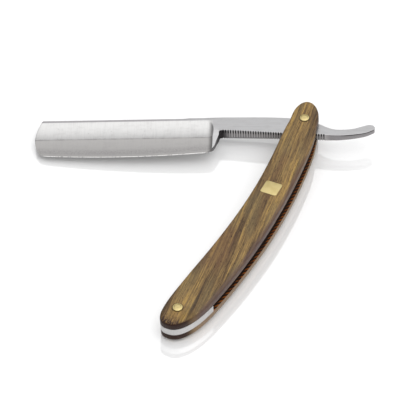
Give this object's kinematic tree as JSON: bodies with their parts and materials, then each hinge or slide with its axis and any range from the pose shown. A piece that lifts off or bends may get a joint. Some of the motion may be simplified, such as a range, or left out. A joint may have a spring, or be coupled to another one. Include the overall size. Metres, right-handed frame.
{
  "type": "straight razor",
  "caption": "Folding straight razor: hollow-ground steel blade with a notched shank and curved tail, pivoting between two curved wooden scales pinned over a metal wedge.",
  "frame": {"origin": "centre of the pivot, on the flat underside of the lower pivot collar, the lowest point of the razor as it lies on its side", "axes": "+Z along the pivot axis, out of the front scale; +X along the spine from the toe to the tail; the cutting edge faces -Y"},
  "size_m": [0.1517, 0.1341, 0.0128],
  "materials": {
    "blade_steel": "satin hollow grind, brushed shank",
    "scale_wood": "oiled walnut-brown hardwood, streaked along the handle",
    "wedge_aluminium": "fine sanded edge",
    "brass": "bright, softly worn"
  },
  "bodies": {
    "handle": {"front_scale": "scale_wood", "back_scale": "scale_wood", "wedge": "wedge_aluminium", "inlay_plate": "brass", "pivot_pin": "brass", "pivot_front_collar": "brass", "pivot_back_collar": "brass", "pivot_front_washer": "brass", "pivot_back_washer": "brass", "wedge_pin": "brass", "wedge_front_collar": "brass", "wedge_back_collar": "brass"},
    "blade": {"blade": "blade_steel"}
  },
  "joints": [
    {"name": "blade_pivot", "type": "hinge", "parent": "handle", "child": "blade", "pos_m": [0, 0, 0.00638], "axis": [0, 0, 1], "range_deg": [-270, 60]}
  ]
}
